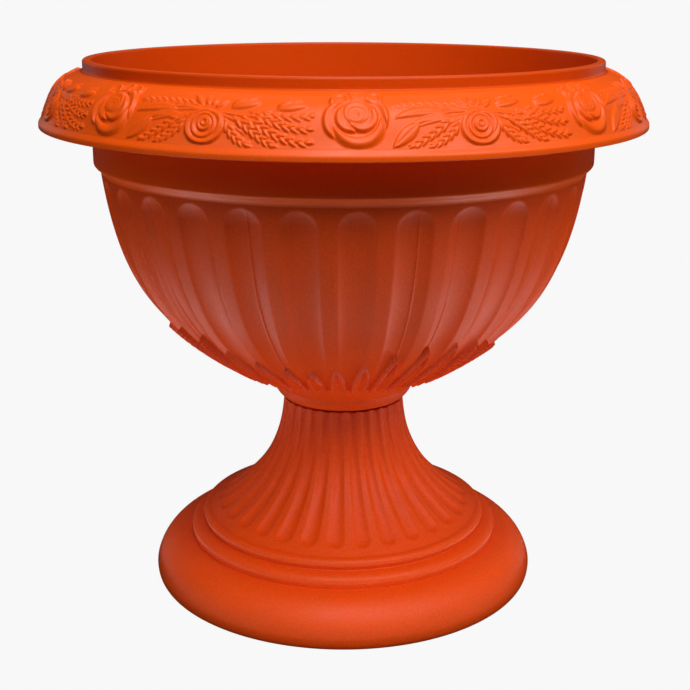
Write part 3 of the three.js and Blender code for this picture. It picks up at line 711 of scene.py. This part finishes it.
def nearest(x, y, way):
    """For each point of the grid: distance to a way, share of the way's length there, and offset aside."""
    best = np.full(x.shape, 1e9)
    share = np.zeros(x.shape)
    side = np.zeros(x.shape)
    tangent = np.gradient(way, axis=0)
    tangent /= np.hypot(*tangent.T)[:, None]
    for k, (px, py) in enumerate(way):
        distance = np.hypot(x - px, y - py)
        closer = distance < best
        best = np.where(closer, distance, best)
        share = np.where(closer, k / (len(way) - 1), share)
        side = np.where(closer, (x - px) * -tangent[k, 1] + (y - py) * tangent[k, 0], side)
    return best, share, side


def lay_stem(relief, x, y, points, width, height):
    """A thin rounded stem that tapers to its end."""
    distance, share, _ = nearest(x, y, curve(*points, step=0.5))
    q = distance / (width * (1 - 0.5 * share))
    return np.maximum(relief, height * np.sqrt(np.clip(1 - q * q, 0, 1)))


def lay_leaf(relief, x, y, points, width, height, crease=0.35):
    """A leaf about a curved midrib: half width width * sin(pi t^0.8)^0.8, with a creased middle."""
    distance, share, side = nearest(x, y, curve(*points, step=0.5))
    half = width * np.sin(math.pi * np.clip(share, 0.001, 0.999) ** 0.8) ** 0.8
    q = distance / np.maximum(half, 0.05)
    shape = height * np.clip(1 - q ** 2, 0, 1) ** 0.5 - crease * np.exp(-(side / 0.6) ** 2) * (q < 1)
    return np.maximum(relief, shape)


def lay_ear(relief, x, y, points, grains, width, height):
    """An ear of wheat: plump grains by turns left and right of a curved stalk, and one at its tip."""
    way = curve(*points, step=0.25)
    tangent = np.gradient(way, axis=0)
    tangent /= np.hypot(*tangent.T)[:, None]
    relief = lay_stem(relief, x, y, points, 0.8, 0.5 * height)
    for k in range(grains):
        share = 0.12 + 0.78 * k / (grains - 1)
        at = int(share * (len(way) - 1))
        heading = tangent[at]
        across = np.array([-heading[1], heading[0]])
        side = 1 if k % 2 else -1
        size = 1 - 0.25 * share
        centre = way[at] + across * side * width * 0.5 * size + heading * 1.2
        turn = math.degrees(math.atan2(heading[1], heading[0])) + side * GRAIN_SPLAY
        tall = height * (0.85 - 0.2 * share)
        relief = lay_dome(relief, x, y, centre, GRAIN_HALF * size, width * 0.41 * size, turn, tall)
    turn = math.degrees(math.atan2(tangent[-1][1], tangent[-1][0]))
    return lay_dome(relief, x, y, way[-1] - tangent[-1] * 1.6, 3.2, width * 0.3, turn, height * 0.7)


def full_rose(relief, x, y):
    """The full rose: outer petals first, then the ball and its heart over them."""
    relief = lay_petal(relief, x, y, (0.3, 32.8), 6.4, 5.6, cup=0.9, rim=1.5, crest=0.7)
    relief = lay_petal(relief, x, y, (-9.6, 29.5), 6.6, 6.2, 35, cup=0.7, rim=1.5, crest=0.72)
    relief = lay_petal(relief, x, y, (9.4, 31.0), 5.2, 5.4, -30, cup=0.7, rim=1.5, crest=0.72)
    relief = lay_petal(relief, x, y, (-9.8, 17.6), 9.2, 11.6, -12, cup=0.6, rim=1.7, crest=0.8)
    relief = lay_petal(relief, x, y, (8.6, 19.8), 8.2, 11.6, 10, cup=0.5, rim=1.8, crest=0.8)
    relief = lay_petal(relief, x, y, (0.4, 13.2), 14.6, 12.8, cup=0.5, rim=2.0, crest=0.72)
    relief = lay_petal(relief, x, y, (-1.0, 18.4), 13.0, 11.2, cup=0.25, rim=0.3, crest=0.8, foot=0.5)
    relief = lay_petal(relief, x, y, (-4.0, 18.0), 8.6, 8.8, 8, cup=1.3, rim=1.9, crest=0.78, foot=0.5)
    relief = lay_petal(relief, x, y, (2.6, 18.4), 8.8, 9.0, -8, cup=1.2, rim=1.9, crest=0.78, foot=0.5)
    relief = lay_petal(relief, x, y, (-0.6, 21.2), 8.0, 7.4, cup=1.35, rim=1.85, crest=0.74, foot=1.0)
    relief = lay_petal(relief, x, y, (-0.6, 19.6), 5.6, 4.9, cup=1.35, rim=1.8, crest=0.72, foot=1.3)
    relief = lay_petal(relief, x, y, (-0.9, 19.3), 3.3, 2.8, 20, cup=1.4, rim=1.85, crest=0.7, foot=1.35)
    return lay_dome(relief, x, y, (-1.4, 19.2), 1.1, 1.0, 0, 1.9)


def small_rose(relief, x, y):
    """The small rose of the spray: two rings of petals about a ball."""
    relief = lay_petal(relief, x, y, (0.0, 11.4), 12.2, 10.4, cup=0.4, rim=1.6, crest=0.86)
    relief = lay_petal(relief, x, y, (2.4, 12.8), 9.0, 7.2, 35, cup=0.4, rim=1.6, crest=0.84, foot=0.4)
    relief = lay_petal(relief, x, y, (-0.2, 12.0), 8.1, 7.9, cup=0.3, rim=1.7, crest=0.8, foot=0.3)
    relief = lay_petal(relief, x, y, (0.2, 12.9), 5.0, 4.9, cup=0.9, rim=1.8, crest=0.7, foot=0.3)
    relief = lay_petal(relief, x, y, (0.4, 13.7), 2.8, 2.6, cup=1.0, rim=1.9, crest=0.66, foot=1.0)
    return lay_dome(relief, x, y, (-7.9, 17.6), 2.2, 1.7, 20, 1.4)


def spray(relief, x, y):
    """Ears, buds, leaves and stems that fan out on both sides of the small rose, then the rose itself."""
    for points in (
        [(3, 20), (10, 20.5), (22, 17), (38, 18)],
        [(3, 20), (9, 19), (20, 14), (30, 12)],
        [(2, 20), (8, 18), (16, 13), (24, 8)],
        [(-3, 20), (-10, 22), (-24, 21), (-36, 14)],
        [(-3, 20), (-9, 18), (-18, 14), (-26, 10)],
        [(-4, 21), (-12, 23.5), (-24, 23), (-44, 19)],
        [(-4, 19), (-14, 17), (-28, 16), (-38, 12)],
    ):
        relief = lay_stem(relief, x, y, points, 0.8, 0.8)
    relief = lay_leaf(relief, x, y, [(-35, 14.0), (-41, 9.5), (-46, 4.5), (-49.5, 1.2)], 3.9, 1.3)
    relief = lay_leaf(relief, x, y, [(-20, 20.5), (-30, 23), (-40, 21), (-48, 17.5)], 2.9, 1.0)
    relief = lay_leaf(relief, x, y, [(-16, 17.5), (-24, 18.5), (-33, 17), (-41, 13)], 1.8, 0.9)
    relief = lay_ear(relief, x, y, [(-6, 23.5), (-18, 26), (-32, 26.5), (-47, 25.5)], 14, 2.3, 1.1)
    relief = lay_ear(relief, x, y, [(-11, 15.5), (-16, 9.5), (-21, 4.5), (-30, 1.2)], 10, 2.5, 1.5)
    relief = lay_ear(relief, x, y, [(-15, 16.5), (-23, 12), (-30, 6), (-40.5, 1.2)], 11, 2.5, 1.5)
    relief = lay_ear(relief, x, y, [(12, 15.5), (15, 10), (19, 4), (27.5, 1.6)], 9, 2.8, 1.7)
    relief = lay_ear(relief, x, y, [(17, 17), (26, 12), (33, 4.5), (41.5, 1.8)], 11, 2.8, 1.7)
    relief = lay_ear(relief, x, y, [(22, 17.5), (35, 11), (46, 2.5), (61, 4.2)], 14, 2.8, 1.7)
    relief = lay_ear(relief, x, y, [(27, 18.5), (37, 16), (48, 10), (60.5, 11.4)], 12, 2.5, 1.5)
    relief = lay_ear(relief, x, y, [(26, 20.5), (38, 19.5), (48, 16), (62, 19)], 12, 2.3, 1.3)
    for centre, turn in (((21, 26.2), 12), ((47.5, 25.2), 9)):
        relief = lay_dome(relief, x, y, (centre[0] + 1, centre[1] - 1.0), 8.6, 2.6, turn, 1.4)
        relief = lay_dome(relief, x, y, (centre[0] - 2.5, centre[1] + 1.2), 5.2, 2.3, turn + 14, 1.5)
        relief = lay_dome(relief, x, y, (centre[0] + 2.2, centre[1] + 2.4), 5.0, 1.5, turn + 22, 1.1)
    for foot, tip in (
        ((-4, 24), (-11.2, 31.4)),
        ((-1, 24.5), (-2.6, 31.8)),
        ((2, 24), (3.8, 31)),
        ((4.5, 22.6), (11, 28.4)),
    ):
        middle = ((foot[0] + tip[0]) / 2, (foot[1] + tip[1]) / 2)
        relief = lay_leaf(relief, x, y, [foot, middle, tip], 1.7, 1.3)
    return small_rose(relief, x, y)


rim_length = np.hypot(*np.diff(rim_curve, axis=0).T).sum()
rim_rows = np.linspace(0, rim_length, len(rim_curve))
sector = np.radians(RIM_START + np.linspace(0, 360 / RIM_REPEATS, SECTOR_COLUMNS + 1))
grid_x, grid_y = np.meshgrid(sector * FACE_R, rim_rows)
relief = np.zeros(grid_x.shape)
relief = spray(relief, grid_x - SPRAY_X, grid_y)
relief = full_rose(relief, grid_x, grid_y)
relief = relief * smooth(rim_rows, 0.3, 1.4)[:, None] * smooth(rim_length - rim_rows, 0.6, 3.0)[:, None]
relief = relief * smooth(sector, sector[0], sector[4]) * smooth(-sector, -sector[-1], -sector[-5])
for axis in (0, 1):
    relief = (np.roll(relief, 1, axis) + 2 * relief + np.roll(relief, -1, axis)) / 4
# Painted light: the rim's face takes the lighter copy of the pot's colour.
for k in range(RIM_REPEATS):
    azimuths = sector + math.radians(RIM_TURN + k * 360 / RIM_REPEATS)
    face = surface(f"rim_relief_{k + 1}", revolved(raised(rim_curve), azimuths, relief), sharp=70)
    dress(face, gloss_lighter_painted_polypropylene, "basin", "bowl_plastic")

# ---- Bowl collar and inside ----------------------------------------------------------
# The upright collar with its rounded lip, and the smooth inside down to the floor.

# Mirror-polished polypropylene: the core of the tool is polished brightest, so the collar and
# the inside have no haze over their colour. That colour is painted darker than the belly's,
# which is painted shade on the collar, the inside and the floor.
mirror_darker_painted_polypropylene = plastic(
    "mirror_polished_painted_darker_polypropylene",
    "#D84804",
    roughness=0.36,
    grain=1.2,
    grain_depth=0.01,
    mottle=0.03,
    speckle=0.04,
    specular=0.16,
)

COLLAR_R = 170.2
COLLAR_TOP = 233.7
LIP_BORE_R = 164.4
LIP_ROUND = 1.8
LIP_SIDE = COLLAR_TOP - LIP_ROUND
BOWL_WALL = 3.2
FLOOR_TOP = 3.2
FLOOR_R = 38.6

cone_inside = beside(curve(BOSS_CREASE, (62.0, 20.75), BELLY_FOOT, step=2), -BOWL_WALL)
collar_profile = raised(outline(
    curve((172.6, 226.0), (170.4, 226.3), (COLLAR_R, 227.3), step=0.3),
    curve((COLLAR_R, 227.3), (COLLAR_R, LIP_SIDE), step=1),
    curve((COLLAR_R, LIP_SIDE), (COLLAR_R, COLLAR_TOP), (COLLAR_R - LIP_ROUND, COLLAR_TOP), step=0.3),
    curve((COLLAR_R - LIP_ROUND, COLLAR_TOP), (LIP_BORE_R + LIP_ROUND, COLLAR_TOP), step=1),
    curve((LIP_BORE_R + LIP_ROUND, COLLAR_TOP), (LIP_BORE_R, COLLAR_TOP), (LIP_BORE_R, LIP_SIDE), step=0.3),
    curve((LIP_BORE_R, LIP_SIDE), (BAND_R - BOWL_WALL, BAND_FOOT), step=4),
    curve((BAND_R - BOWL_WALL, BAND_FOOT), (BAND_R - BOWL_WALL - 0.2, 163), (158.7, 159.5), step=1.5),
    beside(fine[::20], -BOWL_WALL)[-3::-1],
    cone_inside[::-1],
    curve(tuple(cone_inside[0]), (43.5, FLOOR_TOP + 3), (FLOOR_R - 0.1, FLOOR_TOP), step=1),
))
collar = surface("bowl_collar", revolved(collar_profile, full_turn(RIM_COLUMNS)), sharp=30)
# Painted shade: the collar and the inside take the darker copy of the pot's colour.
dress(collar, mirror_darker_painted_polypropylene, "basin", "bowl_plastic")

# ---- Bowl floor ----------------------------------------------------------------------
# The flat floor with the bolt's hole and the four drain holes.

PLUG_CIRCLE_R = 27.0
DRAIN_HOLE_R = 4.5
BOWL_TURN = 3.0
plug_places = around(4, PLUG_CIRCLE_R, 45 + BOWL_TURN)
drain_holes = [circle(DRAIN_HOLE_R, place, 32) for place in plug_places]
bowl_floor = plate(
    "bowl_floor",
    [circle(FLOOR_R, count=160), circle(BOLT_HOLE_R), *drain_holes],
    BOWL_Z,
    BOWL_Z + FLOOR_TOP,
)
# Painted shade: the bowl's floor takes the same darker copy of the pot's colour.
dress(bowl_floor, mirror_darker_painted_polypropylene, "basin", "bowl_plastic")

# ---- Sealing washer ------------------------------------------------------------------
# The soft ring between the bolt's head and the bowl's floor, punched from rubber sheet.


HANDLING_SCALE = 120             # clouds to the metre
HANDLING_TINT = 0.1
HANDLING_SHINE = 0.06


def fitting(name, colour, roughness, grain, grain_depth, specular):
    """A small part's material: one colour, with object-space noise for its skin and its shine."""
    made, tree = new_material(name)
    place = add_node(tree, "ShaderNodeTexCoord").outputs["Object"]
    clouds = noise(tree, place, HANDLING_SCALE, 4)
    skin = add_node(tree, "ShaderNodeBsdfPrincipled", {
        "Base Color": clouded(tree, clouds, colour, HANDLING_TINT),
        "Roughness": about(tree, clouds, roughness, HANDLING_SHINE),
        "Normal": bumped(tree, noise(tree, place, 1000 / grain, 3), grain_depth),
        "IOR": 1.5,
        "Specular IOR Level": specular,
    })
    add_node(tree, "ShaderNodeOutputMaterial", {"Surface": skin.outputs[0]})
    return made


# EPDM rubber sheet: calendered smooth, then dusted with talc, so it is a dull grey black.
rubber_sheet = fitting(
    "epdm_rubber_sheet",
    "#1C1A19",
    roughness=0.82,
    grain=0.4,
    grain_depth=0.02,
    specular=0.3,
)

SEALING_WASHER_R = 14.0
SEALING_WASHER_Z = (134.2, 136.7)
THREAD_HOLE_R = 6.3

sealing_washer = plate(
    "sealing_washer_ring",
    [circle(SEALING_WASHER_R, count=96), circle(THREAD_HOLE_R)],
    *SEALING_WASHER_Z,
    edge=0.5,
)
dress(sealing_washer, rubber_sheet, "bolt", "washer_rubber", "sealing_washer")

# ---- Clamp bolt ----------------------------------------------------------------------
# The moulded bolt that clamps the bowl to the pedestal: a round head with a coin slot, and a
# shank with a coarse thread of two starts, so that the wing nut runs up in a few turns.


def turned(points, degrees):
    """The points of a plane turned about the origin."""
    c, s = math.cos(math.radians(degrees)), math.sin(math.radians(degrees))
    return points @ np.array([[c, s], [-s, c]])


def joined(name, pieces):
    """One object out of several, each a closed shell of its own."""
    made = bpy.data.objects.new(name, closed_mesh(name, [piece.data for piece in pieces]))
    bpy.context.scene.collection.objects.link(made)
    for piece in pieces:
        bpy.data.objects.remove(piece)
    return made


def threaded_bar(name, r, depth, lead, starts, bottom, top, plain_from):
    """A bar with a thread, its radius r - depth (1 - ridge).

    ridge is a trapezium of the helix phase, the fraction of starts (z / lead - azimuth / 2 pi).
    The thread fades into a plain neck above plain_from, and the bar's lower end is chamfered.
    """
    heights = np.linspace(bottom, top, round((top - bottom) / 0.22))[:, None]
    azimuths = full_turn(72)
    phase = (starts * (heights / lead - azimuths / (2 * math.pi))) % 1
    ridge = np.clip(1.9 - 5.2 * np.abs(phase - 0.5), 0, 1)
    plain = smooth(heights, plain_from, plain_from + 2)
    radius = r - depth * (1 - np.maximum(ridge, plain))
    radius = np.minimum(radius, r - depth + (heights - bottom) * 0.9)
    grid = np.stack([radius * np.sin(azimuths), -radius * np.cos(azimuths), heights + 0 * radius], -1)
    return surface(name, grid, sharp=35)


# Polypropylene from a smooth tool, in a browner shade than the pots: a low even gloss.
smooth_polypropylene = fitting(
    "smooth_moulded_polypropylene",
    "#A83A1A",
    roughness=0.42,
    grain=0.5,
    grain_depth=0.01,
    specular=0.5,
)

BOLT_HEAD_R = 15.0
BOLT_HEAD_Z = (137.0, 143.5)
COIN_SLOT_HALF = 1.5
COIN_SLOT_BOTTOM = 140.0
THREAD_R = 5.9
THREAD_DEPTH = 1.1
THREAD_LEAD = 6.0
THREAD_STARTS = 2
THREAD_TOP = 120.0
BOLT_END = 98.0

slot_corner = math.degrees(math.asin(COIN_SLOT_HALF / BOLT_HEAD_R))
half_head = np.radians(np.linspace(slot_corner, 180 - slot_corner, 60))
half_head = BOLT_HEAD_R * np.stack([np.cos(half_head), np.sin(half_head)], 1)
clamp_bolt = joined("clamp_bolt_moulding", [
    threaded_bar(
        "shank",
        THREAD_R,
        THREAD_DEPTH,
        THREAD_LEAD,
        THREAD_STARTS,
        BOLT_END,
        BOLT_HEAD_Z[0] + 0.6,
        THREAD_TOP,
    ),
    plate("slot_floor", [circle(BOLT_HEAD_R - 0.3, count=96)], BOLT_HEAD_Z[0], COIN_SLOT_BOTTOM, edge=0.4),
    plate("half_a", [turned(half_head, BOWL_TURN)], *BOLT_HEAD_Z, edge=0.6),
    plate("half_b", [turned(-half_head, BOWL_TURN)], *BOLT_HEAD_Z, edge=0.6),
])
dress(clamp_bolt, smooth_polypropylene, "bolt", "fitting_plastic", "clamp_bolt")

# ---- Washer and wing nut -------------------------------------------------------------
# Under the pedestal's deck: a flat washer and the wing nut that draws the bolt down, which a
# hand turns through the open foot. Both are moulded.

NUT_WASHER_R = 16.0
NUT_WASHER_Z = (112.3, 113.9)
NUT_HUB_Z = (101.0, 112.0)
NUT_HUB_R = 10.5
WING_TOP = 111.7
WING_ROUND = 8.0                 # radius of a wing's tip
WING_TIP_X = 18.0                # its centre, from the axis
WING_ROOT_X = 8.0
WING_ROOT_DEPTH = 10.2
WING_HALF = 2.5                  # half of a wing's thickness

nut_washer = plate(
    "nut_washer_ring",
    [circle(NUT_WASHER_R, count=96), circle(THREAD_HOLE_R)],
    *NUT_WASHER_Z,
    edge=0.3,
)
dress(nut_washer, smooth_polypropylene, "washer_under", "fitting_plastic", "nut_washer")


def upright(piece, centre, degrees):
    """Stands a plate up, its drawing's y along Z, turns it about Z and moves its mesh to a centre in mm."""
    piece.data.transform(
        Matrix.Translation(Vector(centre) / 1000)
        @ Matrix.Rotation(math.radians(degrees), 4, "Z")
        @ Matrix.Rotation(math.radians(90), 4, "X")
    )
    return piece


tip_arc = np.radians(np.linspace(90, -90, 28))
wing_outline = np.vstack([
    [(WING_ROOT_X, 0)],
    np.stack([WING_TIP_X + WING_ROUND * np.cos(tip_arc), WING_ROUND * (np.sin(tip_arc) - 1)], 1),
    [(WING_ROOT_X, -WING_ROOT_DEPTH)],
])
wings = [
    upright(
        plate(f"wing_{side}", [wing_outline], -WING_HALF, WING_HALF, edge=1.1),
        (0, 0, WING_TOP),
        side + SHAFT_FLUTES_TURN,
    )
    for side in (0, 180)
]
hub = plate("hub", [circle(NUT_HUB_R, count=72), circle(THREAD_HOLE_R)], *NUT_HUB_Z, edge=0.7)
wing_nut = joined("wing_nut_moulding", [hub, *wings])
dress(wing_nut, smooth_polypropylene, "nut", "fitting_plastic", "wing_nut")

# ---- Drain plugs ---------------------------------------------------------------------
# Four push-in plugs: a stem in the drain hole, a cap that lies on the floor, and a tab to
# pull it by.

STEM_R = 4.2
STEM_END = 126.7
STEM_FULL = STEM_END + 2.6       # the stem's rounded end reaches its full width here
STEM_FLAT_R = 1.6
CAP_R = 7.4
CAP_BOTTOM = 134.2
CAP_TOP = 136.6
TAB_TOP = 142.6
TAB_DEPTH = 6.8
TAB_HALF = 3.5                   # half of the tab's width
TAB_ROUND = 2.0
TAB_HALF_THICK = 1.1

plug_profile = outline(
    curve((STEM_FLAT_R, STEM_END), (STEM_R - 0.2, STEM_END), (STEM_R, STEM_FULL), step=0.3),
    curve((STEM_R, STEM_FULL), (STEM_R, CAP_BOTTOM), step=1),
    curve((STEM_R, CAP_BOTTOM), (CAP_R - 0.6, CAP_BOTTOM), step=0.6),
    curve((CAP_R - 0.6, CAP_BOTTOM), (CAP_R, CAP_BOTTOM), (CAP_R, CAP_BOTTOM + 0.6), step=0.2),
    curve((CAP_R, CAP_BOTTOM + 0.6), (CAP_R, CAP_TOP), (CAP_R - 1.8, CAP_TOP), step=0.2),
    curve((CAP_R - 1.8, CAP_TOP), (STEM_FLAT_R, CAP_TOP), step=0.8),
)
corner = np.radians(np.linspace(0, 90, 10))
corner = TAB_HALF - TAB_ROUND + TAB_ROUND * np.stack([np.cos(corner), np.sin(corner)], 1) - (0, TAB_HALF)
tab_outline = np.vstack([
    [(TAB_HALF, -TAB_DEPTH)],
    corner,
    (corner * (-1, 1))[::-1],
    [(-TAB_HALF, -TAB_DEPTH)],
])
for k, (x, y) in enumerate(plug_places):
    body = surface("plug_body", revolved(plug_profile, full_turn(64)) + (x, y, 0), sharp=30)
    tab = plate("plug_tab", [tab_outline], -TAB_HALF_THICK, TAB_HALF_THICK, edge=0.4)
    tab = upright(tab, (x, y, TAB_TOP), BOWL_TURN)
    plug = joined(f"drain_plug_moulding_{k + 1}", [body, tab])
    dress(plug, smooth_polypropylene, f"plug_{k + 1}", "fitting_plastic", f"drain_plug_{k + 1}")
